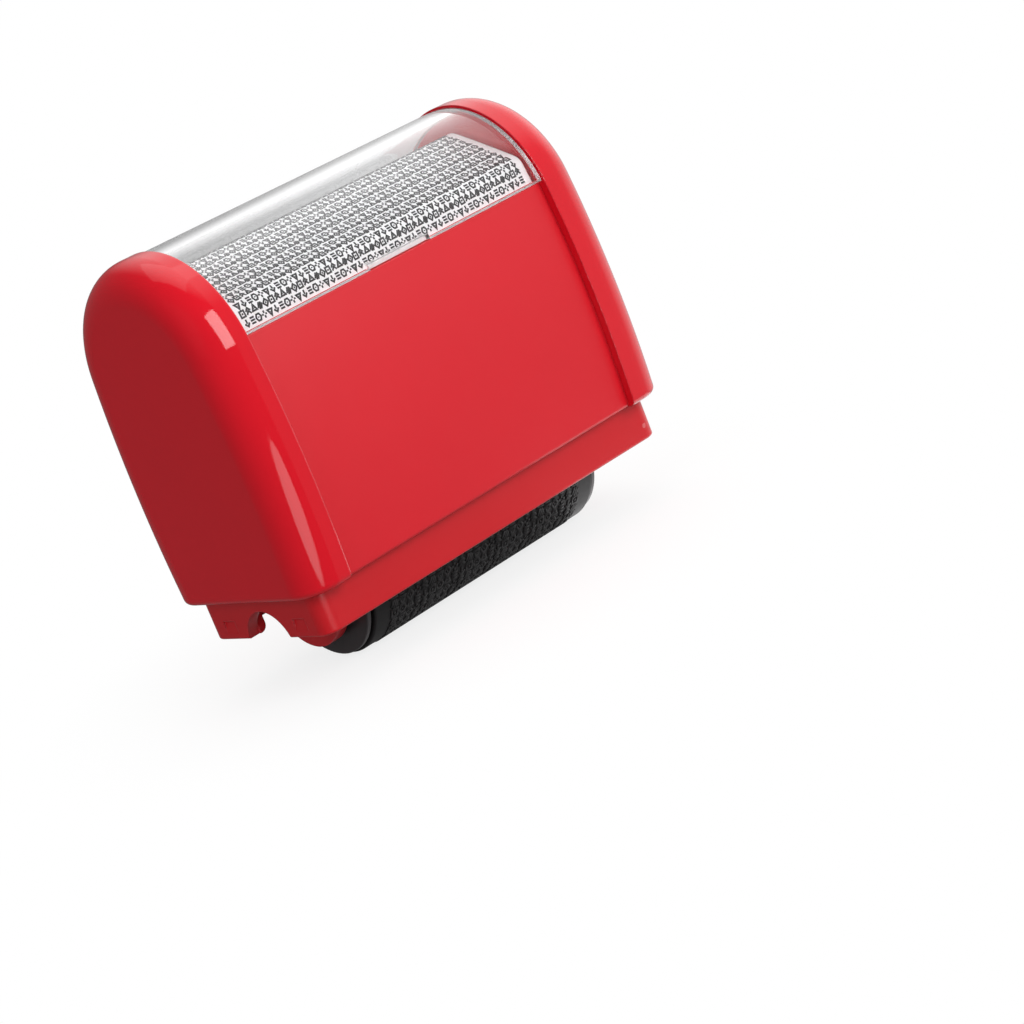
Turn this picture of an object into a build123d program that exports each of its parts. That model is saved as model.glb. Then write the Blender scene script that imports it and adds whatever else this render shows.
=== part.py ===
from build123d import *
import math
import os

# Privacy roller stamp, in millimetres.
# X runs along the rollers, the front faces -Y and Z is up.
# The origin lies under the middle of the stamp roller, on the surface that it stands on.
# The sizes run outwards from the stamp roller, and each piece takes its place from what it fits.

# Stamp roller
stamp_radius = 10.37
print_length = 38.0
margin_length = 2.9
margin_drop = 0.37
sleeve_wall = 2.32
groove_width = 0.3
groove_drop = 0.7
flange_thickness = 0.87
flange_drop = 0.5
flange_edge_radius = 0.2
core_wall = 1.4
core_hub_wall = 1.55
core_hub_gap = 0.35
core_ribs = 6
core_rib_thickness = 1.2
spigot_length = 2.0
spigot_wall = 1.5
bush_wall = 1.05
bush_lip = 1.4
bush_lip_thickness = 1.0
boss_wall = 1.5
stamp_axle_radius = 1.5
axle_chamfer = 0.3

# Ink roller
ink_radius = 6.5
ink_foam_wall = 2.45
ink_foam_reach = 0.6
ink_core_reach = 0.9
ink_cap_drop = 0.6
ink_cap_thickness = 0.8
ink_spacer_wall = 1.45
ink_axle_radius = 1.5

# Carriage
cheek_thickness = 1.9
lobe_drop = 3.2
shoulder_room = 1.0
shoulder_rise = 3.0
rail_half_width = 4.4
rail_depth = 5.0
rail_wall = 1.4
rail_foot_rise = 4.63
bar_width = 2.5
bar_height = 4.5
bar_foot = 1.0
bar_cover = 2.0
tenon_inset = 0.7
slot_snap = 0.5
slot_flare = 1.25
slot_mouth_depth = 1.8

# Skirt and inner frame
roller_room = 1.82
skirt_wall = 1.8
skirt_drop = 2.37
skirt_height = 6.1
skirt_corner_radius = 2.4
skirt_foot_radius = 0.35
frame_reach = 9.9
tower_inset = 0.5
notch_radius = 5.1
notch_centre_drop = 1.0
catch_depth = 0.35
catch_width = 2.8
catch_height = 1.9
catch_gap = 1.9
catch_rise = 0.9
rib_thickness = 1.5
rib_reach = 1.3
rib_lead_share = 0.85
stop_thickness = 1.6
stop_reach = 4.7

# Front and back panels
panel_recess = 1.36
panel_thickness = 1.6
panel_rise = 1.7
panel_foot_radius = 0.6
lap_length = 2.0
lap_wall = 0.85
lap_drop = 2.0

# End caps
band_width = 7.2
cap_end_wall = 2.1
cap_edge_radius = 5.0
cap_foot_radius = 1.0
cap_cavity_radius = 2.0
dome_draw = 0.7
dome_centre_drop = 2.29
side_lean_degrees = 7.6
partition_thickness = 1.2
partition_room = 4.2
shelf_rise = 1.7
shelf_reach = 1.5
shelf_thickness = 1.5
shelf_side_room = 2.4

# Lid with its label and window
window_recess = 0.3
window_thickness = 1.5
window_lift = 0.12
pry_half_length = 5.7
pry_height = 0.75
pry_depth = 0.9
bed_thickness = 1.4
bed_web = 1.4
bed_side_room = 0.34
bed_skirt_drop = 2.7
ledge_reach = 0.9
ledge_height = 0.15
card_thickness = 0.25
card_margin = 0.4
flap_stand_out = 0.4
bend_inset = 0.55
bend_room = 0.5
bend_inner_radius = 0.4
roof_degrees = 26.0
ridge_radius = 3.5

# Fits
overrun = 1.0
seat_gap = 0.05
slip_gap = 0.15
lift_gap = 0.2
running_gap = 0.05
end_play = 0.13
roller_gap = 0.25
skirt_gap = 0.1
joined_gap = 0.0005

# Radii of the rollers' pieces
flange_radius = stamp_radius - flange_drop
core_radius = stamp_radius - sleeve_wall - seat_gap
core_hub_radius = stamp_axle_radius + core_hub_gap + core_hub_wall
bush_radius = stamp_axle_radius + running_gap + bush_wall
ink_core_radius = ink_radius - ink_foam_wall - seat_gap

# Places along X, from the middle outwards
print_end_x = print_length / 2
sleeve_end_x = print_end_x + margin_length
disc_start_x = sleeve_end_x + groove_width
disc_end_x = disc_start_x + flange_thickness
cheek_inner_x = disc_end_x + bush_lip_thickness + end_play
cheek_outer_x = cheek_inner_x + cheek_thickness
rail_end_x = cheek_outer_x + rail_depth
skirt_inner_x = rail_end_x + lift_gap
skirt_end_x = skirt_inner_x + skirt_wall
cap_outer_x = skirt_end_x + skirt_gap + cap_end_wall
cap_inner_x = cap_outer_x - band_width
lid_end_x = cap_inner_x - lift_gap
foam_end_x = print_end_x + ink_foam_reach
ink_core_end_x = foam_end_x + ink_core_reach

# Places along Y, from the middle outwards
skirt_inner_y = stamp_radius + roller_room
skirt_outer_y = skirt_inner_y + skirt_wall
shoulder_y = skirt_inner_y - shoulder_room
shell_half_depth = skirt_outer_y + seat_gap + panel_thickness + panel_recess
cap_wall = panel_recess + panel_thickness + seat_gap - skirt_gap
dome_radius = shell_half_depth - dome_draw

# Heights, from the ground up
stamp_axis_z = stamp_radius
skirt_bottom = stamp_axis_z - skirt_drop
shell_bottom = skirt_bottom + skirt_height
frame_top = shell_bottom + frame_reach
ink_axis_z = stamp_axis_z + stamp_radius + roller_gap + ink_radius
shoulder_z = ink_axis_z + shoulder_rise
bar_bottom = shoulder_z + bar_foot
bar_top = bar_bottom + bar_height
cheek_top = bar_top + bar_cover
stop_low = cheek_top + lift_gap
stop_high = stop_low + stop_thickness
partition_bottom = stop_high + partition_room
lap_top = partition_bottom - lap_drop
shelf_low = partition_bottom + shelf_rise
shelf_top = shelf_low + shelf_thickness
panel_top = shelf_top + panel_rise
lid_bottom = panel_top + slip_gap
dome_centre_z = panel_top - dome_centre_drop
body_top = dome_centre_z + dome_radius

lean = math.radians(side_lean_degrees)
roof = math.radians(roof_degrees)


def side_circle():
    """Centre and radius of the big arc of a side, which meets the dome without a corner."""
    join_y = dome_radius * math.cos(lean)
    join_z = dome_centre_z + dome_radius * math.sin(lean)
    rise_y = join_y - shell_half_depth
    rise_z = join_z - shell_bottom
    inward = rise_y * math.cos(lean) + rise_z * math.sin(lean)
    radius = (rise_y**2 + rise_z**2) / (2 * inward)
    return join_y - radius * math.cos(lean), join_z - radius * math.sin(lean), radius


side_y, side_z, side_radius = side_circle()


def join_height(inset):
    """Height at which a side becomes the dome, on the shell drawn in by inset."""
    return dome_centre_z + (dome_radius - inset) * math.sin(lean)


def half_depth(z, inset):
    """Half the depth of the shell at height z, drawn in by inset."""
    if z > join_height(inset):
        return math.sqrt((dome_radius - inset) ** 2 - (z - dome_centre_z) ** 2)
    return side_y + math.sqrt((side_radius - inset) ** 2 - (z - side_z) ** 2)


def bed_half_depth():
    """Half the depth of the lid's bed, which drops between the panels' top edges."""
    return half_depth(panel_top, panel_recess + panel_thickness) - bed_side_room


def side_line(inset, low, high):
    """The right side of the shell's section between two heights, as one arc."""
    middle = (low + high) / 2
    heights = (low, middle, high)
    return ThreePointArc(*[(half_depth(z, inset), z) for z in heights])


def closed_section(lines):
    """A face from lines given in order, joined end to end by straight lines where they stand apart."""
    edges = []
    for line, following in zip(lines, lines[1:] + lines[:1]):
        edges.append(line)
        gap = (line @ 1 - following @ 0).length
        if gap > joined_gap:
            edges.append(Line(line @ 1, following @ 0))
    return make_face(edges)


def mirrored(line):
    """A line of the section on the other side, running the other way."""
    ends = [line @ 1, line @ 0.5, line @ 0]
    return ThreePointArc(*[(-point.X, point.Y) for point in ends])


def shell_section(inset, low):
    """The whole section of the shell, drawn in by inset and closed at the height low."""
    top = (0, body_top - inset)
    if low >= join_height(inset):
        reach = half_depth(low, inset)
        return closed_section([ThreePointArc((reach, low), top, (-reach, low))])
    side = side_line(inset, low, join_height(inset))
    dome = ThreePointArc(side @ 1, top, (-(side @ 1).X, (side @ 1).Y))
    return closed_section([side, dome, mirrored(side)])


def trunk_section(inset, low, high):
    """The shell's section between two heights, across both sides."""
    side = side_line(inset, low, high)
    return closed_section([side, mirrored(side)])


def wall_section(outer_inset, inner_inset, low, high):
    """The section of one wall of the back half, between two insets and two heights."""
    outer = side_line(outer_inset, low, high)
    inner = side_line(inner_inset, low, high)
    turned = ThreePointArc(inner @ 1, inner @ 0.5, inner @ 0)
    return closed_section([outer, turned])


def slab(section, x_from, x_to):
    """A YZ section carried along X."""
    return Pos(x_from, 0, 0) * extrude(Plane.YZ * section, amount=x_to - x_from)


def block(x_from, x_to, y_from, y_to, z_from, z_to):
    """A box between two corners."""
    centre = Pos((x_from + x_to) / 2, (y_from + y_to) / 2, (z_from + z_to) / 2)
    return centre * Box(x_to - x_from, y_to - y_from, z_to - z_from)


def rod(radius, x_from, x_to, z):
    """A round bar along X at the height z."""
    return Pos(x_from, 0, z) * extrude(Plane.YZ * Circle(radius), amount=x_to - x_from)


def tube(outer, inner, x_from, x_to, z):
    """A round tube along X at the height z."""
    return rod(outer, x_from, x_to, z) - rod(inner, x_from - overrun, x_to + overrun, z)


def other_end(shape):
    """The same piece at the left end."""
    return mirror(shape, about=Plane.YZ)


def other_side(shape):
    """The same piece on the front or the back."""
    return mirror(shape, about=Plane.XZ)


# Shell

def right_end_cap():
    """A deep cap with a flat end, a wide rounded edge and a band that stands proud of the panels."""
    cap = slab(shell_section(0, shell_bottom), cap_inner_x, cap_outer_x)
    end_face = cap.faces().sort_by(Axis.X)[-1]
    cap = fillet(end_face.edges().filter_by(GeomType.CIRCLE), cap_edge_radius)
    foot_face = cap.faces().sort_by(Axis.Z)[0]
    inner_edge = foot_face.edges().sort_by(Axis.X)[0]
    cap = fillet([edge for edge in foot_face.edges() if edge != inner_edge], cap_foot_radius)

    cavity_end = cap_outer_x - cap_end_wall
    low = shell_bottom - overrun
    cavity = slab(shell_section(cap_wall, low), cap_inner_x + partition_thickness, cavity_end)
    cavity_face = cavity.faces().sort_by(Axis.X)[-1]
    cavity = fillet(cavity_face.edges().filter_by(GeomType.CIRCLE), cap_cavity_radius)
    cap -= cavity

    # The partition stops above the frame, and the panels' laps have a rebate below it
    passage_end = cap_inner_x + partition_thickness + seat_gap
    cap -= slab(trunk_section(cap_wall, low, partition_bottom), cap_inner_x - overrun, passage_end)
    rebate_inset = panel_recess + panel_thickness - lap_wall - seat_gap
    rebate_end = cap_inner_x + lap_length + slip_gap
    cap -= slab(trunk_section(rebate_inset, low, lap_top + slip_gap), cap_inner_x - overrun, rebate_end)

    # The shelf that the lid rests on
    shelf_start = cap_inner_x - shelf_reach
    shelf_end = cap_inner_x + partition_thickness
    shelf_y = bed_half_depth() - bed_thickness - shelf_side_room
    cap += block(shelf_start, shelf_end, -shelf_y, shelf_y, shelf_low, shelf_top)
    return cap


def back_panel():
    """A barrelled plate between the caps, with a lap under each band."""
    inner_inset = panel_recess + panel_thickness
    lap_end = cap_inner_x + lap_length
    section = wall_section(panel_recess, inner_inset, shell_bottom, panel_top)
    panel = slab(section, -lap_end, lap_end)
    outer_foot = panel.faces().sort_by(Axis.Z)[0].edges().filter_by(Axis.X).sort_by(Axis.Y)[-1]
    panel = fillet(outer_foot, panel_foot_radius)

    # Beyond the bands' edges only a thinner and shorter lap is left
    outside = (lap_end + overrun, 0, shell_half_depth + overrun, shell_bottom - overrun, panel_top + overrun)
    kept = trunk_section(inner_inset - lap_wall, shell_bottom + panel_foot_radius, lap_top)
    cut = block(cap_inner_x, *outside) - slab(kept, cap_inner_x, lap_end + overrun)
    panel -= cut
    panel -= other_end(cut)
    return panel


# Skirt and inner frame

def base_frame():
    """The skirt that shows below the shell, and inside it the walls and ribs that guide the carriage."""
    plan = RectangleRounded(2 * skirt_end_x, 2 * skirt_outer_y, skirt_corner_radius)
    frame = Pos(0, 0, skirt_bottom) * extrude(plan, amount=frame_top - skirt_bottom)
    frame = fillet(frame.faces().sort_by(Axis.Z)[0].edges(), skirt_foot_radius)
    inner_plan = RectangleRounded(2 * skirt_inner_x, 2 * skirt_inner_y, skirt_corner_radius - skirt_wall)
    bay = extrude(inner_plan, amount=frame_top + overrun - skirt_bottom + overrun)
    frame -= Pos(0, 0, skirt_bottom - overrun) * bay

    # Towers, ribs and top stops at both ends
    tower_y = skirt_outer_y - skirt_corner_radius - tower_inset
    tower = block(skirt_inner_x, skirt_end_x, -tower_y, tower_y, frame_top, stop_high)
    rib_inner_y = rail_half_width + lift_gap
    rib_outer_y = rib_inner_y + rib_thickness
    rib_start = skirt_inner_x - rib_reach
    rib = block(rib_start, skirt_inner_x, rib_inner_y, rib_outer_y, skirt_bottom, stop_high)
    lead_edge = rib.edges().filter_by(Axis.Y).group_by(Axis.Z)[0].sort_by(Axis.X)[0]
    rib = fillet(lead_edge, rib_reach * rib_lead_share)
    stop_start = skirt_inner_x - stop_reach
    stop = block(stop_start, skirt_inner_x, -rib_outer_y, rib_outer_y, stop_low, stop_high)
    end = tower + rib + other_side(rib) + stop
    frame += end
    frame += other_end(end)

    # The arched notches, and the seats of the storage cap's catches, which run out downwards
    arch = Pos(0, skirt_bottom - notch_centre_drop) * Circle(notch_radius)
    notch = slab(arch, skirt_inner_x - seat_gap, skirt_end_x + overrun)
    catch_low = skirt_bottom + catch_rise
    catch_high = catch_low + catch_height
    wedge = Polyline(
        (skirt_end_x, catch_low),
        (skirt_end_x + overrun, catch_low),
        (skirt_end_x + overrun, catch_high),
        (skirt_end_x - catch_depth, catch_high),
        close=True,
    )
    catch_end = notch_radius + catch_gap + catch_width
    catch = Pos(0, catch_end, 0) * extrude(Plane.XZ * make_face(wedge), amount=catch_width)
    cuts = notch + catch + other_side(catch)
    frame -= cuts
    frame -= other_end(cuts)
    return frame


# Carriage

def bar_place():
    """Nearest and furthest Y of a tie bar."""
    return shoulder_y - bar_width, shoulder_y


def right_cheek():
    """A side plate with a round lobe below, bearings for both rollers and a rail on its outer face."""
    lobe_y = stamp_radius - lobe_drop
    lobe = ThreePointArc((-lobe_y, stamp_axis_z), (0, stamp_axis_z - lobe_y), (lobe_y, stamp_axis_z))
    sides = Polyline(
        (lobe_y, stamp_axis_z),
        (lobe_y, ink_axis_z),
        (shoulder_y, shoulder_z),
        (shoulder_y, cheek_top),
        (-shoulder_y, cheek_top),
        (-shoulder_y, shoulder_z),
        (-lobe_y, ink_axis_z),
        (-lobe_y, stamp_axis_z),
    )
    cheek = slab(make_face([lobe, sides]), cheek_inner_x, cheek_outer_x)

    # Hollow rail, open at the top
    rail_bottom = stamp_axis_z + rail_foot_rise
    cheek += block(cheek_outer_x, rail_end_x, -rail_half_width, rail_half_width, rail_bottom, cheek_top)
    pocket_half = rail_half_width - rail_wall
    pocket_low = rail_bottom + rail_wall
    pocket_high = cheek_top + overrun
    cheek -= block(cheek_outer_x, rail_end_x - rail_wall, -pocket_half, pocket_half, pocket_low, pocket_high)

    # Bearings: a hole for the stamp axle, and a snap slot for the ink axle
    cuts = (cheek_inner_x - overrun, cheek_outer_x + overrun)
    cheek -= rod(stamp_axle_radius + seat_gap, *cuts, stamp_axis_z)
    cheek -= rod(ink_axle_radius + running_gap, *cuts, ink_axis_z)
    neck_y = ink_axle_radius - slot_snap
    mouth_y = neck_y + slot_flare
    cheek -= block(*cuts, -neck_y, neck_y, ink_axis_z, cheek_top + overrun)
    funnel_low = cheek_top - slot_mouth_depth
    funnel = Polyline(
        (-neck_y, funnel_low),
        (neck_y, funnel_low),
        (mouth_y, cheek_top),
        (-mouth_y, cheek_top),
        close=True,
    )
    cheek -= slab(make_face(funnel), *cuts)

    # Mortises for the tie bars
    near, far = bar_place()
    mortise_z = (bar_bottom + tenon_inset, bar_top - tenon_inset)
    mortise = block(*cuts, near + tenon_inset, far - tenon_inset, *mortise_z)
    cheek -= mortise
    cheek -= other_side(mortise)
    return cheek


def back_tie_bar():
    """A bar that spaces the cheeks, with a tenon through each of them."""
    near, far = bar_place()
    bar = block(-cheek_inner_x, cheek_inner_x, near, far, bar_bottom, bar_top)
    shrink = tenon_inset + seat_gap
    tenon_z = (bar_bottom + shrink, bar_top - shrink)
    bar += block(-cheek_outer_x, cheek_outer_x, near + shrink, far - shrink, *tenon_z)
    return bar


def stamp_axle():
    """The steel pin of the stamp roller, held in both cheeks."""
    axle = rod(stamp_axle_radius, -cheek_outer_x, cheek_outer_x, stamp_axis_z)
    return chamfer(axle.edges().filter_by(GeomType.CIRCLE), axle_chamfer)


# Stamp roller

def roller_core():
    """A spool: an outer tube joined to its hub by ribs that stop short of the flanges' spigots."""
    rib_half = sleeve_end_x - spigot_length - lift_gap
    inner_radius = core_radius - core_wall
    bore = stamp_axle_radius + core_hub_gap
    core = tube(core_radius, inner_radius, -sleeve_end_x, sleeve_end_x, stamp_axis_z)
    core += tube(core_hub_radius, bore, -rib_half, rib_half, stamp_axis_z)
    rib_low = (bore + core_hub_radius) / 2
    rib_high = inner_radius + core_wall / 2
    rib = block(-rib_half, rib_half, -core_rib_thickness / 2, core_rib_thickness / 2, rib_low, rib_high)
    for number in range(core_ribs):
        core += Pos(0, 0, stamp_axis_z) * Rot(X=360 * number / core_ribs) * rib
    return core


def stamp_sleeve():
    """The rubber sleeve, full size over the printed length and a little smaller at its plain ends."""
    bore = core_radius + seat_gap
    sleeve = tube(stamp_radius - margin_drop, bore, -sleeve_end_x, sleeve_end_x, stamp_axis_z)
    sleeve += tube(stamp_radius, bore, -print_end_x, print_end_x, stamp_axis_z)
    return sleeve


def right_flange():
    """A smooth end disc with a groove beside the sleeve and a spigot inside the core."""
    bore = bush_radius + seat_gap
    disc = rod(flange_radius, disc_start_x, disc_end_x, stamp_axis_z)
    disc = fillet(disc.edges().filter_by(GeomType.CIRCLE), flange_edge_radius)
    flange = disc + rod(flange_radius - groove_drop, sleeve_end_x, disc_start_x, stamp_axis_z)
    spigot_x = (sleeve_end_x - spigot_length, sleeve_end_x)
    spigot_radius = core_radius - core_wall - seat_gap
    flange += tube(spigot_radius, spigot_radius - spigot_wall, *spigot_x, stamp_axis_z)
    flange += rod(bore + boss_wall, *spigot_x, stamp_axis_z)
    flange -= rod(bore, sleeve_end_x - spigot_length - overrun, disc_end_x + overrun, stamp_axis_z)
    return flange


def right_bush():
    """A flanged bearing bush between the roller's flange and the axle."""
    start = sleeve_end_x - spigot_length
    thrust_end = disc_end_x + bush_lip_thickness
    bush = rod(bush_radius, start, disc_end_x, stamp_axis_z)
    bush += rod(bush_radius + bush_lip, disc_end_x, thrust_end, stamp_axis_z)
    bush -= rod(stamp_axle_radius + running_gap, start - overrun, thrust_end + overrun, stamp_axis_z)
    return bush


# Ink roller

def ink_axle():
    """The steel pin of the ink roller, which turns in the cheeks' slots."""
    axle = rod(ink_axle_radius, -cheek_outer_x, cheek_outer_x, ink_axis_z)
    return chamfer(axle.edges().filter_by(GeomType.CIRCLE), axle_chamfer)


def ink_core():
    """The tube that carries the ink foam."""
    return tube(ink_core_radius, ink_axle_radius + seat_gap, -ink_core_end_x, ink_core_end_x, ink_axis_z)


def ink_foam():
    """The foam sleeve that holds the ink."""
    return tube(ink_radius, ink_core_radius + seat_gap, -foam_end_x, foam_end_x, ink_axis_z)


def right_ink_cap():
    """An end disc with a spacer that keeps the ink roller between the cheeks."""
    disc_end = ink_core_end_x + ink_cap_thickness
    spacer_end = cheek_inner_x - lift_gap
    bore = ink_axle_radius + seat_gap
    cap = rod(ink_radius - ink_cap_drop, ink_core_end_x, disc_end, ink_axis_z)
    cap += rod(bore + ink_spacer_wall, disc_end, spacer_end, ink_axis_z)
    cap -= rod(bore, ink_core_end_x - overrun, spacer_end + overrun, ink_axis_z)
    return cap


# Lid

def label_path(offset):
    """The label's line over the lid, raised by offset: steep feet, a bend on each side and a rounded ridge."""
    foot_z = lid_bottom + ledge_height
    flat_foot_y = bed_half_depth() + flap_stand_out
    flat_bend_y = flat_foot_y - bend_inset
    bend_reach = dome_radius - window_recess - window_thickness - bend_room
    flat_bend_z = dome_centre_z + math.sqrt(bend_reach**2 - flat_bend_y**2)
    flap_rise = flat_bend_z - foot_z
    foot_y = flat_foot_y + offset * math.hypot(bend_inset, flap_rise) / flap_rise
    ridge_z = flat_bend_z + flat_bend_y * math.tan(roof) + offset / math.cos(roof)
    # Each bend is where the raised flap meets the raised roof, under the window's curve
    flap_slope = bend_inset / flap_rise
    bend_y = (foot_y - flap_slope * (ridge_z - foot_z)) / (1 - flap_slope * math.tan(roof))
    bend_z = ridge_z - bend_y * math.tan(roof)
    points = [(foot_y, foot_z), (bend_y, bend_z), (0, ridge_z), (-bend_y, bend_z), (-foot_y, foot_z)]
    bend_radius = bed_thickness + bend_inner_radius
    radii = [bend_radius, ridge_radius, bend_radius]
    return FilletPolyline(*points, radius=[radius + offset for radius in radii])


def between(upper, lower, corners=()):
    """A face between two paths that run the same way, with extra corners from the end of the upper one."""
    first = Polyline(upper @ 1, *corners, lower @ 1)
    last = Polyline(lower @ 0, *[(-y, z) for y, z in reversed(corners)], upper @ 0)
    return make_face([*upper.edges(), *first.edges(), *lower.edges(), *last.edges()])


def label_card():
    """The printed card that lies on the bed."""
    card_end = lid_end_x - card_margin
    return slab(between(label_path(seat_gap + card_thickness), label_path(seat_gap)), -card_end, card_end)


def label_bed():
    """The curved tray of the lid: it backs the card, reaches down inside the panels and has two end webs."""
    upper = label_path(0)
    lower = label_path(-bed_thickness)
    foot_z = lid_bottom + ledge_height
    outer_y = bed_half_depth()
    inner_y = -(lower @ 1).X
    skirt_low = shelf_top - bed_skirt_drop
    corners = (
        (-outer_y - ledge_reach, foot_z),
        (-outer_y - ledge_reach, lid_bottom),
        (-outer_y, lid_bottom),
        (-outer_y, skirt_low),
        (-inner_y, skirt_low),
    )
    bed = slab(between(upper, lower, corners), -lid_end_x, lid_end_x)
    web_foot = Polyline(lower @ 1, (-inner_y, shelf_top), (inner_y, shelf_top), lower @ 0)
    web_face = make_face([*lower.edges(), *web_foot.edges()])
    bed += slab(web_face, lid_end_x - bed_web, lid_end_x)
    bed += slab(web_face, -lid_end_x, -lid_end_x + bed_web)
    return bed


def window_cover():
    """The clear arched window, with a recess for a fingernail in its foot at the front and the back."""
    foot_z = lid_bottom + window_lift
    inner_inset = window_recess + window_thickness
    arch = shell_section(window_recess, foot_z) - shell_section(inner_inset, foot_z - overrun)
    window = slab(arch, -lid_end_x, lid_end_x)
    recess_y = (half_depth(foot_z, window_recess + pry_depth), shell_half_depth + overrun)
    recess = block(-pry_half_length, pry_half_length, *recess_y, foot_z - overrun, foot_z + pry_height)
    return window - recess - other_side(recess)


# All pieces, by name

def all_parts():
    """Each node's name and its solid."""
    right_cap = right_end_cap()
    panel = back_panel()
    cheek = right_cheek()
    bar = back_tie_bar()
    flange = right_flange()
    bush = right_bush()
    ink_cap = right_ink_cap()
    return {
        "right_end_cap": right_cap,
        "left_end_cap": other_end(right_cap),
        "back_panel": panel,
        "front_panel": other_side(panel),
        "base_frame": base_frame(),
        "window_cover": window_cover(),
        "label_card": label_card(),
        "label_bed": label_bed(),
        "right_cheek": cheek,
        "left_cheek": other_end(cheek),
        "back_tie_bar": bar,
        "front_tie_bar": other_side(bar),
        "stamp_axle": stamp_axle(),
        "roller_core": roller_core(),
        "stamp_sleeve": stamp_sleeve(),
        "right_flange": flange,
        "left_flange": other_end(flange),
        "right_bush": bush,
        "left_bush": other_end(bush),
        "ink_axle": ink_axle(),
        "ink_core": ink_core(),
        "ink_foam": ink_foam(),
        "right_ink_cap": ink_cap,
        "left_ink_cap": other_end(ink_cap),
    }


os.makedirs("parts", exist_ok=True)
for name, shape in all_parts().items():
    export_step(shape, f"parts/{name}.step")
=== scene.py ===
import math
from functools import cache

import bpy
import numpy as np
from bpy.props import FloatProperty, FloatVectorProperty, IntProperty, PointerProperty
from mathutils import Matrix, Vector


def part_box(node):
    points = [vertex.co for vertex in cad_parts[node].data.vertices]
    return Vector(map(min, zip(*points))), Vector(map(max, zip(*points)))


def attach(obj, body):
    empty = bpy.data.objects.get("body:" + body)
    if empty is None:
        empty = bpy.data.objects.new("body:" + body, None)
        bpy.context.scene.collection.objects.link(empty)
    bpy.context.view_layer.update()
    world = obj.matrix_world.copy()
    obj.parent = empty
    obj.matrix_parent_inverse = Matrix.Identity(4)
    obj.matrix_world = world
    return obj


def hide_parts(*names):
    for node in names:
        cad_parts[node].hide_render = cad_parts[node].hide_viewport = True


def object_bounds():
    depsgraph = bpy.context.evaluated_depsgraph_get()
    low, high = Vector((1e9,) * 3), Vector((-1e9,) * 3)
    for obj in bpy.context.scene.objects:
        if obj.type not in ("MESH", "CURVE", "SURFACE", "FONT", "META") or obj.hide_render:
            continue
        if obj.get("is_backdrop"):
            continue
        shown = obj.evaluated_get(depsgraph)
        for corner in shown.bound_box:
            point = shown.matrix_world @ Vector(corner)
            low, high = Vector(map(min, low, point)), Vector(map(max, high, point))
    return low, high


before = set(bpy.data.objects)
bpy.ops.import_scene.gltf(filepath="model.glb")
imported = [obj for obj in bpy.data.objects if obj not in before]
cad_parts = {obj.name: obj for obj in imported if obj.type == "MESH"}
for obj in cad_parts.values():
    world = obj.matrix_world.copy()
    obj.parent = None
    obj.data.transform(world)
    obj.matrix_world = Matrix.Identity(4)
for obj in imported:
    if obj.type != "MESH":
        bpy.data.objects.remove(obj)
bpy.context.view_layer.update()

bl_info = {
    "name": "Privacy Roller Stamp",
    "version": (1, 0, 0),
    "blender": (4, 5, 0),
    "location": "3D View > Sidebar > Roller Stamp",
    "description": "The finishes, printed label, rubber marks and ink foam of a privacy roller stamp",
    "category": "Object",
}

# Names of the frame's pieces that share a finish
CAPS = ("left_end_cap", "right_end_cap")
PANELS = ("front_panel", "back_panel")
FRAME_PIECES = ("base_frame", "left_cheek", "right_cheek", "front_tie_bar", "back_tie_bar")
DISCS = ("left_flange", "right_flange")
BEARINGS = ("left_bush", "right_bush", "left_ink_cap", "right_ink_cap", "ink_core")
PINS = ("stamp_axle", "ink_axle")

# A full circle, how deep a mark's foot is sunk, and the sleeve's plain end beyond its printed length
FULL_TURN = 2 * math.pi
SUNK = 0.00003
PLAIN_MARGIN = 0.0029

# Longest straight piece of a printed line, of a rubber line and of the foam's surface
LABEL_STEP = 0.0005
RELIEF_STEP = 0.0009
FOAM_STEP = 0.0002

# The window's recess, its outermost layer, and half the width of the blur round each
RECESS_HEIGHT = 0.00077
RECESS_HALF_WIDTH = 0.00571
RECESS_BLUR = 0.00003
LAYER = 0.00004
LAYER_BLUR = 0.00001

# Distances from the middle between which the floor's glow grows, and X places between which the light that
# it returns grows
GLOW_REACH = (0.02, 0.07)
RETURN_REACH = (-0.16, 0.12)

# Plain white, and the mean of a noise texture
WHITE = (1.0, 1.0, 1.0)
NOISE_MEAN = 0.5


def number(name, description, default, **values):
    """A number that shows in the sidebar."""
    return FloatProperty(name=name, description=description, default=default, **values)


def length(name, description, default):
    """A size in metres."""
    return number(name, description, default, min=0.0, unit="LENGTH", precision=6)


def share(name, description, default):
    """A value from nothing to all."""
    return number(name, description, default, min=0.0, max=1.0, subtype="FACTOR")


def angle(name, description, degrees):
    """An angle, given in degrees and kept in radians."""
    return number(name, description, math.radians(degrees), unit="ROTATION")


def light(name, description, default):
    """The strength of a light, in watts for a lamp."""
    return number(name, description, default, min=0.0)


def triple(name, description, default, **values):
    """Three numbers that show in the sidebar."""
    return FloatVectorProperty(name=name, description=description, default=default, size=3, **values)


def colour(name, description, default):
    """A linear colour with no alpha."""
    return triple(name, description, default, min=0.0, max=1.0, subtype="COLOR")


def place(name, description, default):
    """A point in metres."""
    return triple(name, description, default, subtype="TRANSLATION", precision=5)


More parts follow.
